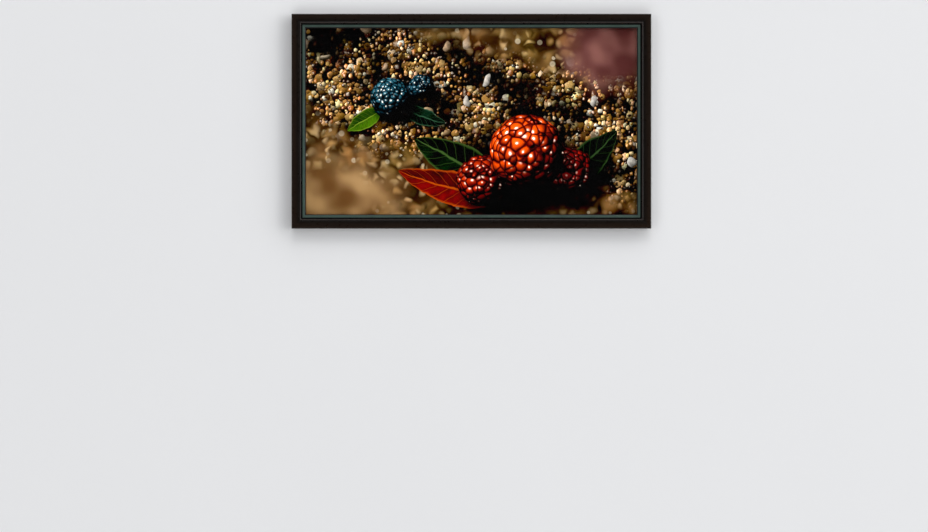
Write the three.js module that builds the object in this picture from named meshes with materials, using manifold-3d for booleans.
// A large landscape picture in a dark stepped wooden frame, as it hangs on a wall.
// Millimetres, +X to the viewer's right, +Y into the wall, +Z up.
// The origin is on the wall, at the middle of the hanging bar's lip.
// Four mitred rails hold four slips, a clear sheet, the print, its mount board and a backing board.
// Steel points driven into the rails keep the boards in, and a Z-shaped bar hangs the frame.

import * as THREE from 'three';
import { mergeVertices } from 'three/addons/utils/BufferGeometryUtils.js';
import Module from 'manifold-3d';

const wasm = await Module();
wasm.setup();

// Driving sizes
const SIGHT_WIDTH = 1280; // what shows of the print
const SIGHT_HEIGHT = 720;
const BORDER = 54.5; // rail and slip together, seen from the front
const RAIL_DEPTH = 36; // front plane to the rail's back
const WALL_GAP = 7.5; // rail's back to the wall
const FIT_GAP = 0.3; // between pieces that touch

// Across the border, from the frame's outer edge (u) and from its front plane (v)
const RABBET_U = 33; // wall of the step that the boards sit in
const LIP_V = 12; // underside of the rail's lip
const EDGE_RADIUS = 3.2; // eased outer corner
const FLAT_END_U = 28.6; // where the broad flat band ends
const FLAT_FALL = 1.6; // the band leans back this far towards the bead
const BEAD_U = 33.5; // middle of the half-round bead
const BEAD_RADIUS = 3.1;
const BEAD_V = 3.7;
const SHADOW_FLOOR_V = 9; // floor of the dark channel between bead and slip
const LIP_END_U = 41.5;
const BACK_CHAMFER = 1.2;

// Slip, the narrow painted moulding inside the rail
const SLIP_BACK_V = 15;
const SLIP_TOP_V = 4;
const SLIP_FALL = 2.4; // its face leans towards the print
const SLIP_FACE_END_U = 51.8;
const SIGHT_STEP_V = 7.6; // dark step beside the print
const SIGHT_NOSE_V = 8.8;
const SLIP_CORNER = 0.6;

// Sheets behind the slip
const GLAZING_THICK = 3;
const PRINT_THICK = 0.5;
const MOUNT_BOARD_THICK = 5;
const BACKING_THICK = 3;
const SHEET_EDGE_GAP = 1.5; // all round, before the sheets settle on the bottom rail
const SHEET_DROP = SHEET_EDGE_GAP - FIT_GAP;

// Framing points
const POINT_WIDTH = 15;
const POINT_THICK = 0.8;
const POINT_IN_WOOD = 9;
const POINT_ON_BOARD = 14;
const POINT_PITCH = 210;
const POINT_TIP = 4; // length of the pointed end in the wood

// Hanging bar and its screws
const BAR_LENGTH = 760;
const BAR_THICK = 2.5;
const BAR_WEB_BELOW_TOP = 26; // top of the web, below the frame's top edge
const BAR_FLANGE_UP = 20;
const BAR_LIP_DOWN = 22;
const BAR_SCREWS = 6;
const BAR_SCREW_PITCH = 140;
const BAR_SCREW_UP = 10; // screw line above the web's top
const SCREW_SHANK_RADIUS = 1.9;
const SCREW_HEAD_RADIUS = 4.2;
const SCREW_HEAD_HIGH = 2.1;
const SCREW_LONG = 20;
const SCREW_RECESS_LONG = 4.6; // the cross in the head
const SCREW_RECESS_WIDE = 0.9;
const SCREW_RECESS_DEEP = 1.1;
const SCREW_SIDES = 20;

// Wall pads
const PAD_RADIUS = 9;
const PAD_IN_U = 16; // above the bottom edge
const PAD_IN_X = 40; // in from the side edge
const PAD_ROUND = 1.4;
const PAD_SIDES = 28;

// Sizes that follow
const OUTER_WIDTH = SIGHT_WIDTH + 2 * BORDER;
const OUTER_HEIGHT = SIGHT_HEIGHT + 2 * BORDER;
const FRONT_Y = -(WALL_GAP + RAIL_DEPTH);
const RAIL_BACK_Y = -WALL_GAP;
const BAR_LIP_Z = OUTER_HEIGHT / 2 - BAR_WEB_BELOW_TOP - BAR_LIP_DOWN / 2; // above the middle
const SHEET_U = RABBET_U + SHEET_EDGE_GAP;
const MITRE_BACK = FIT_GAP / Math.SQRT2; // along the bar, so that two mitres stand FIT_GAP apart

const SIDES = [
  { name: 'top', turn: 0, length: OUTER_WIDTH, reach: OUTER_HEIGHT / 2, points: 6 },
  { name: 'right', turn: Math.PI / 2, length: OUTER_HEIGHT, reach: OUTER_WIDTH / 2, points: 3 },
  { name: 'bottom', turn: Math.PI, length: OUTER_WIDTH, reach: OUTER_HEIGHT / 2, points: 6 },
  { name: 'left', turn: -Math.PI / 2, length: OUTER_HEIGHT, reach: OUTER_WIDTH / 2, points: 3 },
];

function finish(color, roughness, metalness = 0) {
  return new THREE.MeshStandardMaterial({ color, roughness, metalness });
}

const FINISH = {
  rail: finish(0x1e1713, 0.45),
  slip: finish(0x425349, 0.5),
  glazing: new THREE.MeshStandardMaterial({
    color: 0xf4f8f8, roughness: 0.05, transparent: true, opacity: 0.12,
  }),
  print: finish(0x553a28, 0.35),
  mountBoard: finish(0xf2efe8, 0.9),
  backing: finish(0x6d4b33, 0.75),
  steel: finish(0xa8abae, 0.35, 1),
  aluminium: finish(0xbfc2c5, 0.4, 1),
  screw: finish(0x9c9ea0, 0.3, 1),
  pad: finish(0x1b1b1c, 0.9),
};

// Booleans

function solidOf(geometry) {
  const bare = geometry.clone();
  bare.deleteAttribute('normal');
  bare.deleteAttribute('uv');
  const merged = mergeVertices(bare, 1e-4);
  return new wasm.Manifold(new wasm.Mesh({
    numProp: 3,
    vertProperties: merged.attributes.position.array,
    triVerts: new Uint32Array(merged.index.array),
  }));
}

function geometryOf(solid) {
  const mesh = solid.getMesh();
  const geometry = new THREE.BufferGeometry();
  geometry.setAttribute('position', new THREE.BufferAttribute(mesh.vertProperties, 3));
  geometry.setIndex(new THREE.BufferAttribute(mesh.triVerts, 1));
  geometry.computeVertexNormals();
  return geometry;
}

function cutAway(geometry, cutters) {
  let solid = solidOf(geometry);
  for (const cutter of cutters) solid = solid.subtract(solidOf(cutter));
  return geometryOf(solid);
}

// Shapes

function block(lowX, lowY, lowZ, highX, highY, highZ) {
  const box = new THREE.BoxGeometry(highX - lowX, highY - lowY, highZ - lowZ);
  return box.translate((lowX + highX) / 2, (lowY + highY) / 2, (lowZ + highZ) / 2);
}

// The rail's section: u runs from the outer edge inwards, v from the front plane to the back.
function railSection() {
  const s = new THREE.Shape();
  s.moveTo(RABBET_U, RAIL_DEPTH);
  s.lineTo(BACK_CHAMFER, RAIL_DEPTH);
  s.lineTo(0, RAIL_DEPTH - BACK_CHAMFER);
  s.lineTo(0, EDGE_RADIUS);
  s.absarc(EDGE_RADIUS, EDGE_RADIUS, EDGE_RADIUS, Math.PI, 1.5 * Math.PI, false);
  s.quadraticCurveTo(FLAT_END_U / 2, 0, FLAT_END_U, FLAT_FALL);
  s.lineTo(FLAT_END_U + 0.9, BEAD_V);
  s.absarc(BEAD_U, BEAD_V, BEAD_RADIUS, Math.PI, 2 * Math.PI, false);
  s.lineTo(BEAD_U + BEAD_RADIUS + 0.4, SHADOW_FLOOR_V);
  s.lineTo(LIP_END_U, SHADOW_FLOOR_V);
  s.lineTo(LIP_END_U, LIP_V);
  s.lineTo(RABBET_U, LIP_V);
  s.closePath();
  return s;
}

// The slip's section: a foot under the rail's lip, the painted face, then the dark step at the print.
function slipSection() {
  const outerU = LIP_END_U + FIT_GAP;
  const s = new THREE.Shape();
  s.moveTo(RABBET_U + SHEET_EDGE_GAP, LIP_V + FIT_GAP);
  s.lineTo(outerU, LIP_V + FIT_GAP);
  s.lineTo(outerU, SLIP_TOP_V + SLIP_CORNER);
  s.quadraticCurveTo(outerU, SLIP_TOP_V, outerU + SLIP_CORNER, SLIP_TOP_V);
  s.quadraticCurveTo(
    (outerU + SLIP_FACE_END_U) / 2, SLIP_TOP_V + SLIP_FALL * 0.25,
    SLIP_FACE_END_U, SLIP_TOP_V + SLIP_FALL,
  );
  s.lineTo(SLIP_FACE_END_U + 0.3, SIGHT_STEP_V);
  s.lineTo(BORDER - 0.5, SIGHT_STEP_V + 0.4);
  s.quadraticCurveTo(BORDER, SIGHT_STEP_V + 0.5, BORDER, SIGHT_NOSE_V);
  s.lineTo(BORDER, SLIP_BACK_V);
  s.lineTo(RABBET_U + SHEET_EDGE_GAP, SLIP_BACK_V);
  s.closePath();
  return s;
}

// A bar of the given section with both ends cut at 45 degrees. It runs along X with its outer edge
// at z = 0, its inner edges below that and its front plane at y = 0.
function mitredBar(section, length, curveSegments) {
  const bar = new THREE.ExtrudeGeometry(section, {
    depth: length, bevelEnabled: false, steps: 1, curveSegments,
  });
  const place = bar.attributes.position;
  for (let i = 0; i < place.count; i += 1) {
    const u = place.getX(i);
    const v = place.getY(i);
    const end = place.getZ(i) > length / 2 ? 1 : -1;
    place.setXYZ(i, end * (length / 2 - u - MITRE_BACK), v, -u);
  }
  return bar;
}

// Middles of count things spaced evenly about zero.
function spread(count, pitch) {
  return Array.from({ length: count }, (_, i) => (i - (count - 1) / 2) * pitch);
}

const POINT_FRONT_V = SLIP_BACK_V + GLAZING_THICK + PRINT_THICK + MOUNT_BOARD_THICK
  + BACKING_THICK + 5 * FIT_GAP;

function pointSlot(x) {
  const half = POINT_WIDTH / 2 + FIT_GAP;
  return block(
    x - half, POINT_FRONT_V - FIT_GAP, -RABBET_U - 1,
    x + half, POINT_FRONT_V + POINT_THICK + FIT_GAP, -RABBET_U + POINT_IN_WOOD + FIT_GAP,
  );
}

// A flat steel blade, its pointed end in the wood and its rounded end lying on the backing.
function pointBlade() {
  const half = POINT_WIDTH / 2;
  const s = new THREE.Shape();
  s.moveTo(-half, POINT_IN_WOOD - POINT_TIP);
  s.lineTo(-half, -POINT_ON_BOARD + half * 0.6);
  s.quadraticCurveTo(-half, -POINT_ON_BOARD, 0, -POINT_ON_BOARD);
  s.quadraticCurveTo(half, -POINT_ON_BOARD, half, -POINT_ON_BOARD + half * 0.6);
  s.lineTo(half, POINT_IN_WOOD - POINT_TIP);
  s.lineTo(0, POINT_IN_WOOD);
  s.closePath();
  const blade = new THREE.ExtrudeGeometry(s, {
    depth: POINT_THICK, bevelEnabled: false, curveSegments: 6,
  });
  return blade.rotateX(Math.PI / 2).translate(0, POINT_FRONT_V + POINT_THICK, -RABBET_U);
}

// A screw along +Y with its head's underside at y = 0, as a turned profile with a cross cut in it.
function screwGeometry() {
  const r = SCREW_HEAD_RADIUS;
  const h = SCREW_HEAD_HIGH;
  const profile = [
    [0, -SCREW_LONG], [SCREW_SHANK_RADIUS, -SCREW_LONG + 4], [SCREW_SHANK_RADIUS, 0],
    [r, 0], [r, h * 0.4], [r * 0.9, h * 0.75], [r * 0.62, h * 0.95], [0, h],
  ].map(([x, y]) => new THREE.Vector2(x, y));
  const turned = new THREE.LatheGeometry(profile, SCREW_SIDES);
  const long = SCREW_RECESS_LONG / 2;
  const wide = SCREW_RECESS_WIDE / 2;
  return cutAway(turned, [
    block(-long, h - SCREW_RECESS_DEEP, -wide, long, h + 1, wide),
    block(-wide, h - SCREW_RECESS_DEEP, -long, wide, h + 1, long),
  ]);
}

function hole(x, z, radius, nearY, farY) {
  const drill = new THREE.CylinderGeometry(radius, radius, farY - nearY, SCREW_SIDES);
  return drill.translate(x, (nearY + farY) / 2, z);
}

function named(name, geometry, material) {
  const mesh = new THREE.Mesh(geometry, material);
  mesh.name = name;
  return mesh;
}

// Pieces

const screwPlaces = spread(BAR_SCREWS, BAR_SCREW_PITCH);
const screwU = BAR_WEB_BELOW_TOP - BAR_SCREW_UP;

function rail(side) {
  const cutters = spread(side.points, POINT_PITCH).map(pointSlot);
  if (side.name === 'top') {
    const radius = SCREW_SHANK_RADIUS + FIT_GAP;
    for (const x of screwPlaces) {
      cutters.push(hole(x, -screwU, radius, RAIL_DEPTH - SCREW_LONG - FIT_GAP, RAIL_DEPTH + 1));
    }
  }
  const bar = cutAway(mitredBar(railSection(), side.length, 10), cutters);
  return named(`rail_${side.name}`, bar, FINISH.rail);
}

function slip(side) {
  return named(`slip_${side.name}`, mitredBar(slipSection(), side.length, 6), FINISH.slip);
}

function points(side) {
  return spread(side.points, POINT_PITCH).map((x, i) => {
    const blade = named(`point_${side.name}_${i + 1}`, pointBlade(), FINISH.steel);
    blade.position.x = x;
    return blade;
  });
}

// One side of the frame, built as the top one and turned about the picture's middle.
function frameSide(side) {
  const group = new THREE.Group();
  group.rotation.y = side.turn;
  const held = new THREE.Group();
  held.position.set(0, FRONT_Y, side.reach);
  held.add(rail(side), slip(side), ...points(side));
  group.add(held);
  return group;
}

// The flat sheets, front to back, each resting on the bottom rail.
function sheets() {
  const group = new THREE.Group();
  let v = SLIP_BACK_V + FIT_GAP;
  const stack = [
    ['glazing', GLAZING_THICK, FINISH.glazing],
    ['print', PRINT_THICK, FINISH.print],
    ['mount_board', MOUNT_BOARD_THICK, FINISH.mountBoard],
    ['backing_board', BACKING_THICK, FINISH.backing],
  ];
  for (const [name, thick, material] of stack) {
    const wide = OUTER_WIDTH - 2 * SHEET_U;
    const high = OUTER_HEIGHT - 2 * SHEET_U;
    const sheet = named(name, new THREE.BoxGeometry(wide, thick, high), material);
    sheet.position.set(0, FRONT_Y + v + thick / 2, -SHEET_DROP);
    group.add(sheet);
    v += thick + FIT_GAP;
  }
  return group;
}

// A Z-shaped aluminium bar: a flange screwed to the top rail, a web, and a lip that hooks down
// behind a matching bar on the wall.
function hangingBar() {
  const webTop = OUTER_HEIGHT / 2 - BAR_WEB_BELOW_TOP;
  const front = RAIL_BACK_Y + FIT_GAP;
  const s = new THREE.Shape();
  s.moveTo(front, webTop - BAR_THICK);
  s.lineTo(-BAR_THICK, webTop - BAR_THICK);
  s.lineTo(-BAR_THICK, webTop - BAR_LIP_DOWN);
  s.lineTo(0, webTop - BAR_LIP_DOWN);
  s.lineTo(0, webTop);
  s.lineTo(front + BAR_THICK, webTop);
  s.lineTo(front + BAR_THICK, webTop + BAR_FLANGE_UP);
  s.lineTo(front, webTop + BAR_FLANGE_UP);
  s.closePath();
  const bar = new THREE.ExtrudeGeometry(s, { depth: BAR_LENGTH, bevelEnabled: false, steps: 1 });
  // Section (y, z) and length to (x, y, z): a turn that keeps the faces pointing out.
  bar.applyMatrix4(new THREE.Matrix4().set(
    0, 0, 1, -BAR_LENGTH / 2,
    1, 0, 0, 0,
    0, 1, 0, 0,
    0, 0, 0, 1,
  ));
  const screwZ = webTop + BAR_SCREW_UP;
  const radius = SCREW_SHANK_RADIUS + FIT_GAP;
  const holes = screwPlaces.map((x) => hole(x, screwZ, radius, RAIL_BACK_Y - 1, 0));
  return named('hanging_bar', cutAway(bar, holes), FINISH.aluminium);
}

function screws() {
  const underHead = RAIL_BACK_Y + BAR_THICK + 2 * FIT_GAP;
  return screwPlaces.map((x, i) => {
    const screw = named(`bar_screw_${i + 1}`, screwGeometry(), FINISH.screw);
    screw.position.set(x, underHead, OUTER_HEIGHT / 2 - screwU);
    return screw;
  });
}

// Two rubber pads keep the bottom of the frame parallel to the wall.
function pads() {
  const thick = WALL_GAP - FIT_GAP;
  const profile = [
    [0, 0], [PAD_RADIUS, 0], [PAD_RADIUS, thick - PAD_ROUND],
    [PAD_RADIUS - PAD_ROUND * 0.3, thick - PAD_ROUND * 0.3],
    [PAD_RADIUS - PAD_ROUND, thick], [0, thick],
  ].map(([x, y]) => new THREE.Vector2(x, y));
  return [['left', -1], ['right', 1]].map(([name, way]) => {
    const pad = named(`wall_pad_${name}`, new THREE.LatheGeometry(profile, PAD_SIDES), FINISH.pad);
    const x = way * (OUTER_WIDTH / 2 - PAD_IN_X);
    pad.position.set(x, RAIL_BACK_Y + FIT_GAP, -OUTER_HEIGHT / 2 + PAD_IN_U);
    return pad;
  });
}

const picture = new THREE.Group();
picture.add(...SIDES.map(frameSide), sheets(), hangingBar(), ...screws(), ...pads());
picture.position.z = -BAR_LIP_Z;

const part = new THREE.Group();
part.add(picture);
export default part;
